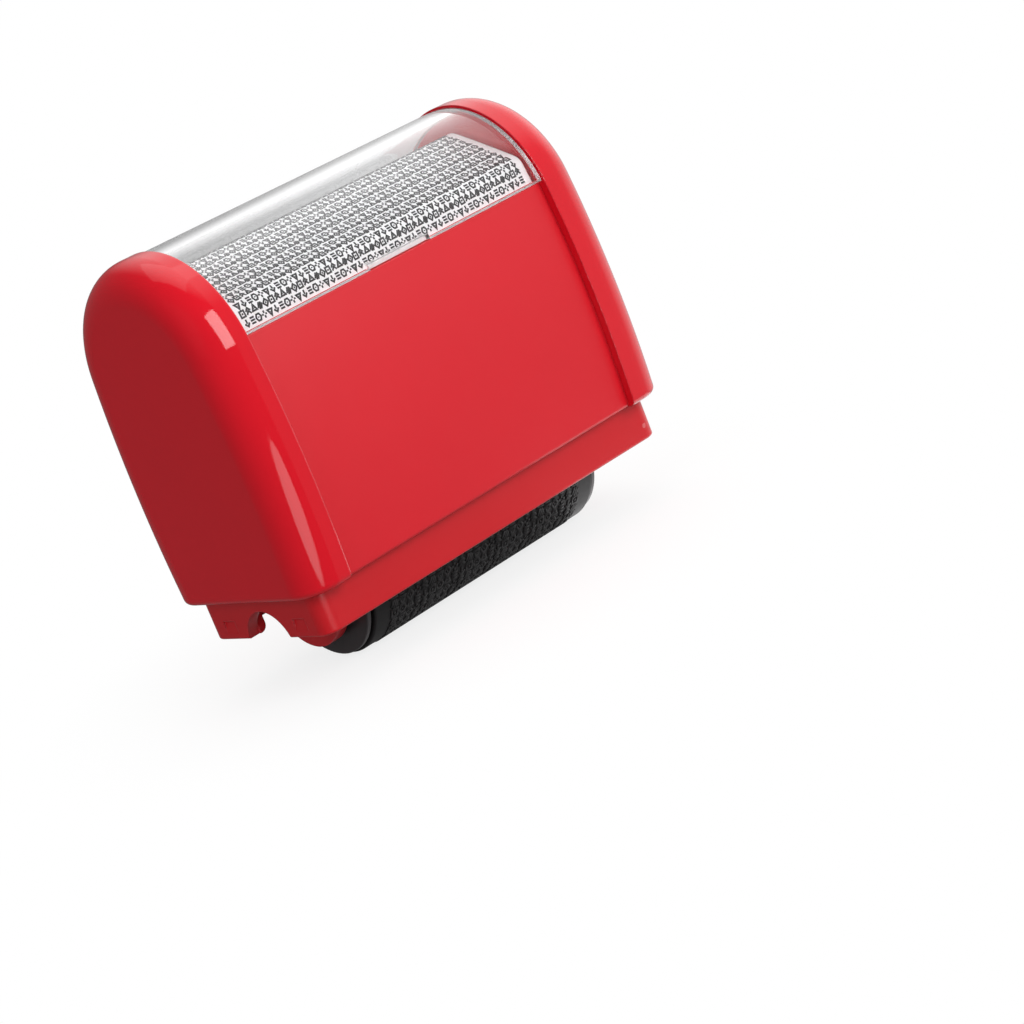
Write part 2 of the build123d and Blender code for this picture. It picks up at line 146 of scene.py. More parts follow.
class RollerStampSizes(bpy.types.PropertyGroup):
    """Sizes of what is printed, moulded and foamed on the fixed frame."""

    roof_angle: angle("Roof angle", "Slope of the card on both sides of its ridge", 26.0)
    flap_lean: angle("Flap lean", "How far the card's steep feet lean inwards", 9.18)
    bend_radius: length("Bend radius", "Radius of the card's outside at its two bends", 0.0021)
    ridge_radius: length("Ridge radius", "Radius of the card's outside at its ridge", 0.0038)
    label_margin: length("Label margin", "Bare card beside the outermost printed marks", 0.0009)
    label_foot_margin: length("Label foot margin", "Bare card below the lowest printed rows", 0.0004)
    label_row_pitch: length("Label row pitch", "Distance between two printed rows", 0.00122)
    label_mark_pitch: length("Label mark pitch", "Distance between two printed marks of a row", 0.00102)
    label_mark_half_height: length("Label mark half height", "Half the height of a printed mark", 0.0005)
    label_mark_half_width: length("Label mark half width", "Half the width of a printed mark", 0.00042)
    label_stroke: length("Label stroke", "Width of a printed line", 0.00025)
    label_ink: length("Label ink", "How far the printing ink stands on the card", 0.00003)

    relief_height: length("Relief height", "How far the rubber marks stand out", 0.00012)
    relief_rows: IntProperty(name="Relief rows", description="Rows of marks round the sleeve", default=40)
    relief_columns: IntProperty(name="Relief columns", description="Rubber marks in one row", default=26)
    relief_mark_half_height: length("Relief mark half height", "Half the height of a rubber mark", 0.00074)
    relief_mark_half_width: length("Relief mark half width", "Half the width of a rubber mark", 0.00066)
    relief_stroke: length("Relief stroke", "Width of a rubber line at its printing face", 0.00036)
    relief_draft: length("Relief draft", "How much wider a rubber line is at its foot", 0.00006)
    sleeve_edge: length("Sleeve edge", "Radius of the sleeve's outer edges", 0.0003)

    foam_pore_size: length("Foam pore size", "Usual width of a pore", 0.00055)
    foam_pore_depth: length("Foam pore depth", "Depth of the deepest pores", 0.00022)
    foam_edge: length("Foam edge", "Radius of the foam's outer edges", 0.0006)


class RollerStampColours(bpy.types.PropertyGroup):
    """Colours of the finishes."""

    shell_red: colour("Shell red", "Glossy red of the caps and panels", (0.64, 0.0050, 0.0150))
    frame_red: colour("Frame red", "Satin red of the skirt, cheeks and lid bed", (0.56, 0.0050, 0.0110))
    # The paler red along edges is a painted highlight for light caught on them, and also stands for wear
    edge_highlight_red: colour("Edge red", "Paler red along worn edges", (0.78, 0.10, 0.12))
    window_clear: colour("Window clear", "Tint of the clear cover", (0.970, 0.970, 0.975))
    # The pink of the window's ends is a painted reflection of the red band behind them
    window_end_painted_red: colour("Window blush", "Tint of the clear cover's two ends", (0.84, 0.26, 0.29))
    paper_white: colour("Paper white", "Card of the label", (0.86, 0.86, 0.87))
    print_black: colour("Print black", "Ink of the printed marks", (0.006, 0.006, 0.007))
    rubber_black: colour("Rubber black", "Rubber of the stamp sleeve", (0.0115, 0.0100, 0.0108))
    disc_black: colour("Disc black", "Smooth black of the end discs", (0.042, 0.034, 0.037))
    bearing_white: colour("Bearing white", "Milky plastic of bushes and ink caps", (0.72, 0.71, 0.66))
    steel_grey: colour("Steel grey", "Turned steel of the axles", (0.55, 0.55, 0.56))
    foam_black: colour("Foam black", "Foam soaked with ink", (0.012, 0.012, 0.016))
    floor_white: colour("Floor white", "The pale floor", (0.93, 0.93, 0.93))


class RollerStampStage(bpy.types.PropertyGroup):
    """Camera, lights and floor."""

    camera_place: place("Camera place", "Where the camera stands", (-0.22769, -0.31903, 0.10140))
    camera_target: place("Camera target", "The point that the camera looks at", (0.0132, 0.0, 0.0052))
    camera_roll: angle("Camera roll", "Turn of the camera about its own line of sight", -21.8)
    camera_lens: number("Camera lens", "Focal length for a 36 mm sensor", 99.05, unit="CAMERA")
    key_place: place("Key place", "Middle of the large front light", (0.13, -0.76, 0.40))
    key_size: length("Key size", "Side of the large front light", 0.50)
    key_power: light("Key power", "Power of the large front light", 4.7)
    top_place: place("Top place", "Middle of the light overhead", (0.15, 0.10, 0.90))
    top_size: length("Top size", "Side of the light overhead", 0.70)
    top_power: light("Top power", "Power of the light overhead", 0.9)
    strip_place: place("Strip place", "Middle of the left oval light", (-0.0562, -0.128, -0.0013))
    strip_width: length("Strip width", "Width of the oval light", 0.09)
    strip_height: length("Strip height", "Height of the oval light", 0.0442)
    strip_turn: angle("Strip turn", "Turn of the oval light about its own line of sight", 23.7)
    strip_power: light("Strip power", "Power of the oval light", 0.0226)
    fill_place: place("Fill place", "Middle of the soft light at the left", (-0.62, -0.20, 0.34))
    fill_size: length("Fill size", "Side of the soft light at the left", 0.50)
    fill_power: light("Fill power", "Power of the soft light at the left", 1.6)
    room_shade: light("Room shade", "Light of the room from the back left", 0.16)
    room_front: light("Room front", "Light of the room from the front right", 0.52)
    room_ceiling: light("Room ceiling", "Light that the bright ceiling adds", 0.92)
    room_ground: light("Room ground", "Light that the pale table adds in reflections from below", 0.08)
    mirrored_left: light("Mirrored left", "Light of the room's left side in reflections", 0.15)
    mirrored_right: light("Mirrored right", "Light of the room's right side in reflections", 0.60)
    mirrored_edge: light("Mirrored edge", "Light that the far right adds in reflections", 0.50)
    table_place: place("Table glow place", "Middle of the table's bright patch", (0.036, -0.013, 0.0005))
    table_size: length("Table glow size", "Side of the table's bright patch", 0.034)
    table_power: light("Table glow power", "Power of the patch, which the roller mirrors", 0.0047)
    floor_low: share("Floor shade", "Share of the light that the floor returns on the left", 0.30)
    floor_high: share("Floor light", "Share of the light that the floor returns on the right", 0.60)
    floor_radius: length("Floor radius", "Radius of the round floor", 4.0)


SETTINGS = {
    "roller_stamp_sizes": RollerStampSizes,
    "roller_stamp_colours": RollerStampColours,
    "roller_stamp_stage": RollerStampStage,
}


# Meshes

def link(thing):
    """Puts an object into the scene."""
    bpy.context.scene.collection.objects.link(thing)
    return thing


def quad_object(name, points, quads, material, smooth_angle=None):
    """A mesh object of quads from an array of points (N x 3) and one of corner numbers (M x 4)."""
    mesh = bpy.data.meshes.new(name)
    mesh.materials.append(material)
    mesh.vertices.add(len(points))
    mesh.vertices.foreach_set("co", np.ascontiguousarray(points, np.float32).ravel())
    mesh.loops.add(quads.size)
    mesh.loops.foreach_set("vertex_index", np.ascontiguousarray(quads, np.int32).ravel())
    mesh.polygons.add(len(quads))
    mesh.polygons.foreach_set("loop_start", np.arange(0, quads.size, quads.shape[1], dtype=np.int32))
    mesh.update(calc_edges=True)
    mesh.validate()
    if smooth_angle is not None:
        mesh.shade_smooth()
        mesh.set_sharp_from_angle(angle=smooth_angle)
    return link(bpy.data.objects.new(name, mesh))


def grid_quads(rows, columns, close_rows):
    """Corner numbers of the quads of a grid of points, numbered row by row, whose rows are closed rings.

    close_rows joins the last row to the first.
    """
    row = np.arange(rows if close_rows else rows - 1)[:, None]
    column = np.arange(columns)[None, :]
    next_row = (row + 1) % rows
    next_column = (column + 1) % columns
    corners = [row * columns + column, row * columns + next_column, next_row * columns + next_column]
    corners.append(next_row * columns + column)
    return np.stack(np.broadcast_arrays(*corners), axis=-1).reshape(-1, 4)


def rounded_line(corners, radii, steps):
    """A line through corners with an arc at each inner one.

    An arc of radius r at a corner that turns by t touches the two straight runs at r * tan(t / 2) from it.
    Its points are the touching point, plus r * sin(a) along the first run, plus r * (1 - cos(a)) across
    it, for a from 0 to t.
    """
    corners = np.array(corners, float)
    runs = np.diff(corners, axis=0)
    runs /= np.hypot(*runs.T)[:, None]
    pieces = [corners[:1]]
    for corner, before, after, radius in zip(corners[1:-1], runs[:-1], runs[1:], radii):
        side = np.array([-before[1], before[0]])
        side *= np.sign(side @ after)
        turn = math.acos(np.clip(before @ after, -1.0, 1.0))
        start = corner - before * radius * math.tan(turn / 2)
        swept = np.linspace(0, turn, steps)[:, None]
        pieces.append(start + radius * np.sin(swept) * before + radius * (1 - np.cos(swept)) * side)
    pieces.append(corners[-1:])
    return np.vstack(pieces)


def round_points(x, radius, turn, centre_z):
    """The points (x, radius * sin(turn), centre_z + radius * cos(turn)), about a line along X at centre_z."""
    places = x, radius * np.sin(turn), centre_z + radius * np.cos(turn)
    return np.stack(np.broadcast_arrays(*places), axis=-1)


def turned_body(name, x, radius, centre_z, material, smooth_angle):
    """A closed profile turned about the line along X at the height centre_z.

    radius has a row for each step round the line and a column for each point of the profile, which lies
    at x. The profile runs so that the solid is on its right, seen with X to the right and the radius up.
    """
    steps, count = radius.shape
    turn = np.linspace(0, FULL_TURN, steps, endpoint=False)[:, None]
    points = round_points(x, radius, turn, centre_z).reshape(-1, 3)
    return quad_object(name, points, grid_quads(steps, count, True)[:, ::-1], material, smooth_angle)


# Marks that hide writing: plain figures that belong to no alphabet, drawn with lines of one width

def ring(sides, size, turn_share=0.0):
    """A closed figure with even sides, turned by a share of a full turn."""
    turn = FULL_TURN * (np.arange(sides) / sides + turn_share)
    return True, size * np.column_stack([np.cos(turn), np.sin(turn)])


def line(*points):
    """An open line through points."""
    return False, np.array(points, float)


def mark_figures():
    """The figures, each a list of lines in shares of half a mark's width and height."""
    square_turn = 1 / 8
    up = 1 / 4
    down = 3 / 4
    return [
        [ring(4, 1.0), line((-0.22, 0), (0.22, 0))],
        [
            line((0, 0.30), (0, 1)), line((0, -0.30), (0, -1)),
            line((0.36, 0), (1, 0)), line((-0.36, 0), (-1, 0)),
        ],
        [ring(3, 1.05, up), line((0, -0.05), (0, 0.2))],
        [ring(4, 1.18, square_turn), line((-0.3, 0), (0.3, 0))],
        [line((-0.9, 0.1), (0, 0.95), (0.9, 0.1)), line((-0.9, -0.75), (0, 0.1), (0.9, -0.75))],
        [line((-0.85, 0.75), (0.85, 0.75)), line((-0.85, 0), (0.85, 0)), line((-0.85, -0.75), (0.85, -0.75))],
        [ring(6, 1.0), line((0, -0.16), (0, 0.16))],
        [
            line((-0.95, -0.5), (-0.1, 0.95)), line((-0.45, -0.95), (0.55, 0.9)),
            line((0.15, -0.95), (0.95, 0.5)),
        ],
        [line((-0.9, -0.1), (0, -0.95), (0.9, -0.1)), line((0, -0.2), (0, 0.95))],
        [ring(3, 1.05, down), line((0, 0.05), (0, -0.2))],
    ]


def divided(points, closed, step):
    """The same line with points added, so that no piece of it is longer than step."""
    loop = np.vstack([points, points[:1]]) if closed else points
    run = np.concatenate([[0.0], np.cumsum(np.hypot(*np.diff(loop, axis=0).T))])
    counts = np.ceil(np.diff(run) / step).astype(int)
    stops = [np.linspace(*span, count, endpoint=False) for *span, count in zip(run[:-1], run[1:], counts)]
    stops = np.concatenate([*stops, run[-1:]])
    made = np.column_stack([np.interp(stops, run, loop[:, axis]) for axis in (0, 1)])
    return made[:-1] if closed else made


def ribbon(points, closed, section):
    """A section of (across, height) points carried along a flat line, as points (u, v, height) and quads.

    At each point of the line the section lies on the mean of the two runs' sideways directions, made
    longer by 1 / cos of half the turn, so that the ribbon keeps its width round the corners.
    """
    before = points - np.roll(points, 1, axis=0)
    after = np.roll(points, -1, axis=0) - points
    if not closed:
        before[0], after[-1] = after[0], before[-1]
    side_before = np.column_stack([-before[:, 1], before[:, 0]]) / np.hypot(*before.T)[:, None]
    side_after = np.column_stack([-after[:, 1], after[:, 0]]) / np.hypot(*after.T)[:, None]
    bend = 1 + np.sum(side_before * side_after, axis=1)
    side = (side_before + side_after) / bend[:, None]
    flat = points[:, None, :] + side[:, None, :] * section[None, :, :1]
    height = np.broadcast_to(section[:, 1], (len(points), len(section)))
    made = np.concatenate([flat, height[..., None]], axis=-1).reshape(-1, 3)
    quads = grid_quads(len(points), len(section), closed)
    if not closed:
        count = len(section)
        first, last = np.arange(count)[None, :], len(made) - 1 - np.arange(count)[None, :]
        quads = np.vstack([quads, first[:, ::-1], last[:, ::-1]])
    return made, quads


def mark_shapes(half_width, half_height, section, step):
    """Points and quads of each figure at its real size, flat, about its own middle."""
    shapes = []
    for figure in mark_figures():
        points, quads, count = [], [], 0
        for closed, shares in figure:
            real = shares * (half_width, half_height)
            made, faces = ribbon(divided(real, closed, step), closed, section)
            points.append(made)
            quads.append(faces + count)
            count += len(made)
        shapes.append((np.vstack(points), np.vstack(quads)))
    return shapes


def mark_field(name, shapes, centres, kinds, surface, material):
    """One mesh of many marks: each centre (u, v) takes the figure of its kind, and surface bends them all.

    surface turns arrays u, v and height into points in space.
    """
    points, quads, count = [], [], 0
    for kind, (shape, faces) in enumerate(shapes):
        middles = centres[kinds == kind]
        placed = shape[None, :, :] + np.pad(middles, ((0, 0), (0, 1)))[:, None, :]
        offsets = count + len(shape) * np.arange(len(middles))
        points.append(placed.reshape(-1, 3))
        quads.append((faces[None, :, :] + offsets[:, None, None]).reshape(-1, 4))
        count += len(points[-1])
    flat = np.vstack(points)
    return quad_object(name, surface(*flat.T), np.vstack(quads), material)


def mark_kinds(rows, columns, shift, seed):
    """Which figure goes where: odd and even rows each repeat their half of the figures, moved on by shift."""
    order = np.random.default_rng(seed).permutation(len(mark_figures()))
    half = len(order) // 2
    row, column = np.divmod(np.arange(rows * columns), columns)
    return order[(column + shift * (row // 2)) % half + half * (row % 2)]


def field_centres(columns, column_pitch, row_places):
    """Centres of a field of marks, row by row, with the columns evenly about zero."""
    across = (np.arange(columns) - (columns - 1) / 2) * column_pitch
    grid = np.meshgrid(across, row_places)
    return np.column_stack([grid[0].ravel(), grid[1].ravel()])


# Node trees

def feed(tree, made, feeds):
    """Feeds a node's sockets by other nodes' outputs, numbers, and colours, which get an alpha of 1."""
    for label, source in feeds.items():
        socket = made.inputs[label]
        if isinstance(source, bpy.types.NodeSocket):
            tree.links.new(source, socket)
        elif socket.type == "RGBA":
            socket.default_value = (*source, 1.0)
        else:
            socket.default_value = source


def node(tree, kind, feeds=None, **values):
    """A new node with its values set and its sockets fed."""
    made = tree.nodes.new(kind)
    for key, value in values.items():
        setattr(made, key, value)
    feed(tree, made, feeds or {})
    return made


def calculate(tree, operation, first, second=0.0, third=0.0):
    """The output of a Math node."""
    return node(tree, "ShaderNodeMath", {0: first, 1: second, 2: third}, operation=operation).outputs[0]


def measure(tree, operation, first, second=(0.0, 0.0, 0.0)):
    """The value of a Vector Math node."""
    return node(tree, "ShaderNodeVectorMath", {0: first, 1: second}, operation=operation).outputs["Value"]


def scaled(tree, first, factor):
    """A vector or colour times a factor."""
    made = node(tree, "ShaderNodeVectorMath", {0: first, "Scale": factor}, operation="SCALE")
    return made.outputs["Vector"]


def fit_range(tree, value, low, high, to_low=0.0, to_high=1.0):
    """A value carried from one range to another, softly at both ends."""
    feeds = {"Value": value, "From Min": low, "From Max": high, "To Min": to_low, "To Max": to_high}
    return node(tree, "ShaderNodeMapRange", feeds, interpolation_type="SMOOTHSTEP").outputs["Result"]


def under(tree, value, limit, blur):
    """1 where a value is under a limit and 0 where it is over it, softened by the blur on both sides."""
    return fit_range(tree, value, limit + blur, limit - blur)


def mix_into(output, factor, first, second):
    """Mixes two shaders into the surface of a material or a world."""
    tree = output.id_data
    mixed = node(tree, "ShaderNodeMixShader", {0: factor, 1: first, 2: second}).outputs["Shader"]
    feed(tree, output, {"Surface": mixed})


def bumped(tree, height, depth):
    """The normal of a surface with a pattern of heights on it."""
    return node(tree, "ShaderNodeBump", {"Height": height, "Distance": depth}).outputs["Normal"]


def blend_colours(tree, factor, first, second):
    """The output of a Mix node for colours."""
    return node(tree, "ShaderNodeMix", {0: factor, 6: first, 7: second}, data_type="RGBA").outputs[2]


def noise(tree, coordinates, scale, detail=2.0, roughness=0.5, distortion=0.0):
    """The value of a Noise texture."""
    feeds = {"Vector": coordinates, "Scale": scale, "Detail": detail, "Roughness": roughness}
    return node(tree, "ShaderNodeTexNoise", {**feeds, "Distortion": distortion}).outputs["Fac"]


def start_group(name, inputs, outputs):
    """An empty node group with its sockets. Returns the tree, its input node and its output node."""
    tree = bpy.data.node_groups.new(name, "ShaderNodeTree")
    kinds = {"value": "NodeSocketFloat", "colour": "NodeSocketColor", "vector": "NodeSocketVector"}
    for label, kind, default in inputs:
        socket = tree.interface.new_socket(name=label, in_out="INPUT", socket_type=kinds[kind])
        if default is not None:
            socket.default_value = default
    for label, kind in outputs:
        tree.interface.new_socket(name=label, in_out="OUTPUT", socket_type=kinds[kind])
    return tree, tree.nodes.new("NodeGroupInput").outputs, tree.nodes.new("NodeGroupOutput").inputs


@cache
def moulded_skin_group():
    """Colour, roughness and normal of a moulded surface.

    The colour drifts slowly, the roughness drifts faster, a fine grain lies over it, and edges are softened
    and painted paler: a painted highlight along the edges that also stands for wear, broken into patches.
    """
    inputs = [
        ("Coordinates", "vector", None),
        ("Colour", "colour", (0.5, 0.5, 0.5, 1.0)),
        ("Edge Colour", "colour", (0.8, 0.8, 0.8, 1.0)),
        ("Colour Drift", "value", 0.05),
        ("Drift Scale", "value", 60.0),
        ("Roughness", "value", 0.3),
        ("Roughness Drift", "value", 0.05),
        ("Grain Scale", "value", 3000.0),
        ("Grain Depth", "value", 0.000004),
        ("Edge Radius", "value", 0.0002),
        ("Edge Wear", "value", 0.2),
    ]
    outputs = [("Colour", "colour"), ("Roughness", "value"), ("Normal", "vector")]
    tree, given, result = start_group("moulded_skin", inputs, outputs)
    where = given["Coordinates"]

    slow = calculate(tree, "SUBTRACT", noise(tree, where, given["Drift Scale"], 3.0), NOISE_MEAN)
    shade = calculate(tree, "MULTIPLY_ADD", slow, given["Colour Drift"], 1.0)
    drifted = scaled(tree, given["Colour"], shade)

    # Edges: a bevelled normal, and a paler edge colour mixed in where the surface bends, which is a painted
    # highlight that also stands for wear
    rounded = node(tree, "ShaderNodeBevel", {"Radius": given["Edge Radius"]}, samples=6).outputs["Normal"]
    flat = node(tree, "ShaderNodeNewGeometry").outputs["Normal"]
    edge = fit_range(tree, measure(tree, "DOT_PRODUCT", rounded, flat), 0.995, 0.90)
    patch = fit_range(tree, noise(tree, where, 900.0, 3.0, 0.6), 0.35, 0.65, 0.35, 1.0)
    painted_edge_highlight = calculate(tree, "MULTIPLY", calculate(tree, "MULTIPLY", edge, patch), given["Edge Wear"])
    tinted = blend_colours(tree, painted_edge_highlight, drifted, given["Edge Colour"])

    quick = calculate(tree, "SUBTRACT", noise(tree, where, 260.0, 5.0, 0.62, 0.4), NOISE_MEAN)
    rough = calculate(tree, "MULTIPLY_ADD", quick, given["Roughness Drift"], given["Roughness"])

    grain = noise(tree, where, given["Grain Scale"], 3.0, 0.6)
    bump = {"Height": grain, "Distance": given["Grain Depth"], "Strength": 1.0, "Normal": rounded}
    relief = node(tree, "ShaderNodeBump", bump).outputs["Normal"]
    for label, source in (("Colour", tinted), ("Roughness", rough), ("Normal", relief)):
        tree.links.new(source, result[label])
    return tree


@cache
def lint_group():
    """A mask of sparse specks: small spots in a few of the cells of a cell pattern."""
    inputs = [("Coordinates", "vector", None), ("Scale", "value", 300.0), ("Share", "value", 0.03)]
    inputs.append(("Spot", "value", 0.16))
    tree, given, result = start_group("lint_specks", inputs, [("Mask", "value")])
    cells = node(tree, "ShaderNodeTexVoronoi", {"Vector": given["Coordinates"], "Scale": given["Scale"]})
    picked = node(tree, "ShaderNodeSeparateColor", {"Color": cells.outputs["Color"]}).outputs["Red"]
    chosen = calculate(tree, "LESS_THAN", picked, given["Share"])
    ragged = noise(tree, given["Coordinates"], calculate(tree, "MULTIPLY", given["Scale"], 6.0))
    reach = calculate(tree, "MULTIPLY_ADD", ragged, 0.12, cells.outputs["Distance"])
    spot = calculate(tree, "LESS_THAN", reach, given["Spot"])
    tree.links.new(calculate(tree, "MULTIPLY", chosen, spot), result["Mask"])
    return tree


@cache
def scuff_group():
    """A mask of fine short scratches: a noise pulled long in two directions and cut to its crests."""
    inputs = [("Coordinates", "vector", None), ("Scale", "value", 120.0), ("Width", "value", 0.012)]
    tree, given, result = start_group("fine_scuffs", inputs, [("Mask", "value")])
    masks = []
    for degrees, stretch in ((24.0, 26.0), (-61.0, 34.0)):
        turn = (0.3, 0.2, math.radians(degrees))
        feeds = {"Vector": given["Coordinates"], "Rotation": turn, "Scale": (1.0, stretch, stretch)}
        turned = node(tree, "ShaderNodeMapping", feeds).outputs["Vector"]
        value = noise(tree, turned, given["Scale"], 1.0, 0.4)
        from_crest = calculate(tree, "ABSOLUTE", calculate(tree, "SUBTRACT", value, NOISE_MEAN))
        crest = calculate(tree, "LESS_THAN", from_crest, given["Width"])
        broken = fit_range(tree, noise(tree, given["Coordinates"], 90.0 + stretch, 2.0), 0.60, 0.70)
        masks.append(calculate(tree, "MULTIPLY", crest, broken))
    tree.links.new(calculate(tree, "MAXIMUM", *masks), result["Mask"])
    return tree


def start_material(name):
    """A new material with its tree, its Principled shader and the piece's own coordinates."""
    made = bpy.data.materials.new(name)
    made.use_nodes = True
    tree = made.node_tree
    where = node(tree, "ShaderNodeTexCoord").outputs["Object"]
    return made, tree, tree.nodes["Principled BSDF"], where


def place_group(tree, maker, feeds):
    """The outputs of a shared group, built once and placed in a material with its sockets fed."""
    return node(tree, "ShaderNodeGroup", feeds, node_tree=maker()).outputs


def moulded(tree, where, body, edge_highlight_colour, **values):
    """The moulded skin inside a material, as feeds of its Principled shader."""
    feeds = {label.replace("_", " ").title(): value for label, value in values.items()}
    feeds |= {"Coordinates": where, "Colour": body, "Edge Colour": edge_highlight_colour}
    skin = place_group(tree, moulded_skin_group, feeds)
    # The skin's edge colour is a painted highlight along edges, and also stands for wear
    return {"Base Color": skin["Colour"], "Roughness": skin["Roughness"], "Normal": skin["Normal"]}


def linted(tree, where, skin, speck, scale, cells, strength):
    """A skin with specks of lint on its colour, in a small share of the cells of a cell pattern."""
    lint = place_group(tree, lint_group, {"Coordinates": where, "Scale": scale, "Share": cells})["Mask"]
    shown = calculate(tree, "MULTIPLY", lint, strength)
    return {**skin, "Base Color": blend_colours(tree, shown, skin["Base Color"], speck)}


def scuffed(tree, where, roughness, scale, width, added):
    """A roughness with fine scuffs added to it."""
    scuffs = place_group(tree, scuff_group, {"Coordinates": where, "Scale": scale, "Width": width})["Mask"]
    return calculate(tree, "MULTIPLY_ADD", scuffs, added, roughness)


def red_plastic(name, colours, body, roughness, drift, grain, highlight_and_wear):
    """Glossy or satin red plastic with a few specks of lint and fine scuffs."""
    made, tree, shader, where = start_material(name)
    skin = moulded(
        tree, where, body, colours.edge_highlight_red, colour_drift=0.07, drift_scale=55.0, roughness=roughness,
        roughness_drift=drift, grain_scale=2600.0, grain_depth=grain, edge_radius=0.00028, edge_wear=highlight_and_wear,
    )
    skin = linted(tree, where, skin, (0.9, 0.62, 0.62), scale=260.0, cells=0.012, strength=0.18)
    skin["Roughness"] = scuffed(tree, where, skin["Roughness"], scale=60.0, width=0.006, added=0.06)
    feed(tree, shader, {**skin, "IOR": 1.50})
    return made


def clear_plastic(colours):
    """The window's clear plastic, scuffed finely, which lets most of the light by to the card.

    Its foot, its two ends and its recesses for a fingernail are frosted, as a mould leaves them, and the ends
    are painted pink, a painted reflection of the red band that they stand against.
    """
    made, tree, shader, where = start_material("clear_window")
    frosted_roughness, light_passed = 0.42, 0.88
    smear = fit_range(tree, noise(tree, where, 130.0, 4.0, 0.6), 0.35, 0.75, 0.008, 0.030)
    polished = scuffed(tree, where, smear, scale=70.0, width=0.005, added=0.10)
    low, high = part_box("window_cover")
    axes = node(tree, "ShaderNodeSeparateXYZ", {"Vector": where}).outputs
    across = calculate(tree, "ABSOLUTE", axes["X"])
    near_foot = under(tree, axes["Z"], low.z + RECESS_HEIGHT, RECESS_BLUR)
    near_middle = under(tree, across, RECESS_HALF_WIDTH, RECESS_BLUR)
    recess = calculate(tree, "MULTIPLY", near_foot, near_middle)
    underside = under(tree, axes["Z"], low.z + LAYER, LAYER_BLUR)
    ends = fit_range(tree, across, high.x - LAYER - LAYER_BLUR, high.x - LAYER + LAYER_BLUR)
    unpolished = calculate(tree, "MAXIMUM", calculate(tree, "MAXIMUM", underside, ends), recess)
    frost = calculate(tree, "MULTIPLY", unpolished, frosted_roughness)
    rough = calculate(tree, "MAXIMUM", polished, frost)
    path = node(tree, "ShaderNodeLightPath").outputs
    lighting = calculate(tree, "MAXIMUM", path["Is Shadow Ray"], path["Is Diffuse Ray"])
    alpha = calculate(tree, "MULTIPLY_ADD", lighting, -light_passed, 1.0)
    # The ends get a painted reflection of the red band: pink painted into the clear plastic's colour
    tint_and_painted_red = blend_colours(tree, ends, colours.window_clear, colours.window_end_painted_red)
    feeds = {"Base Color": tint_and_painted_red, "Roughness": rough, "Alpha": alpha}
    feed(tree, shader, {**feeds, "IOR": 1.49, "Transmission Weight": 1.0})
    return made


def paper(colours):
    """Coated card with faint fibres."""
    made, tree, shader, where = start_material("label_paper")
    cloud = noise(tree, where, 180.0, 4.0, 0.6)
    stain = fit_range(tree, cloud, 0.3, 0.7, 0.0, 0.10)
    shade = blend_colours(tree, stain, colours.paper_white, (0.70, 0.70, 0.73))
    normal = bumped(tree, noise(tree, where, 5200.0, 4.0, 0.65, 1.5), 0.000004)
    rough = fit_range(tree, cloud, 0.3, 0.7, 0.42, 0.55)
    feed(tree, shader, {"Base Color": shade, "Roughness": rough, "Normal": normal})
    return made


def printing_ink(colours):
    """Black printing ink that covers a little unevenly."""
    made, tree, shader, where = start_material("printing_ink")
    cover = noise(tree, where, 1500.0, 3.0, 0.6)
    thin = fit_range(tree, cover, 0.55, 0.8, 0.0, 0.35)
    shade = blend_colours(tree, thin, colours.print_black, (0.10, 0.10, 0.11))
    feed(tree, shader, {"Base Color": shade, "Roughness": fit_range(tree, cover, 0.3, 0.7, 0.30, 0.42)})
    return made


def black_rubber(colours):
    """Dense rubber with a fine matte grain and a few light specks."""
    made, tree, shader, where = start_material("stamp_rubber")
    skin = moulded(
        tree, where, colours.rubber_black, (0.07, 0.065, 0.068), colour_drift=0.35, drift_scale=220.0,
        roughness=0.56, roughness_drift=0.22, grain_scale=4200.0, grain_depth=0.000016,
        edge_radius=0.00006, edge_wear=0.35,
    )
    skin = linted(tree, where, skin, (0.42, 0.40, 0.40), scale=420.0, cells=0.02, strength=0.30)
    feed(tree, shader, {**skin, "Specular IOR Level": 0.30})
    return made


def black_disc(colours):
    """Smooth black plastic with a soft sheen and a few light specks."""
    made, tree, shader, where = start_material("black_plastic")
    skin = moulded(
        tree, where, colours.disc_black, (0.10, 0.097, 0.10), colour_drift=0.25, drift_scale=140.0,
        roughness=0.34, roughness_drift=0.16, grain_scale=3600.0, grain_depth=0.000004,
        edge_radius=0.00012, edge_wear=0.4,
    )
    feed(tree, shader, linted(tree, where, skin, (0.40, 0.38, 0.38), scale=380.0, cells=0.015, strength=0.25))
    return made


def milky_plastic(colours):
    """Slippery off-white bearing plastic."""
    made, tree, shader, where = start_material("bearing_plastic")
    skin = moulded(
        tree, where, colours.bearing_white, (0.85, 0.84, 0.80), colour_drift=0.08, drift_scale=160.0,
        roughness=0.38, roughness_drift=0.12, grain_scale=3000.0, grain_depth=0.000003,
        edge_radius=0.00012, edge_wear=0.25,
    )
    feed(tree, shader, {**skin, "Subsurface Weight": 0.15, "Subsurface Scale": 0.0008})
    return made


def turned_steel(colours):
    """Bright steel with fine rings round the pin from the lathe."""
    made, tree, shader, where = start_material("steel_pin")
    along = node(tree, "ShaderNodeMapping", {"Vector": where, "Scale": (1.0, 0.02, 0.02)}).outputs["Vector"]
    rings = noise(tree, along, 9000.0, 4.0, 0.7)
    stain = fit_range(tree, noise(tree, where, 400.0, 4.0, 0.6), 0.4, 0.8, 0.0, 0.4)
    shade = blend_colours(tree, stain, colours.steel_grey, (0.34, 0.33, 0.32))
    rough = fit_range(tree, rings, 0.3, 0.7, 0.20, 0.36)
    feeds = {"Base Color": shade, "Roughness": rough, "Normal": bumped(tree, rings, 0.000003)}
    feed(tree, shader, {**feeds, "Metallic": 1.0})
    return made


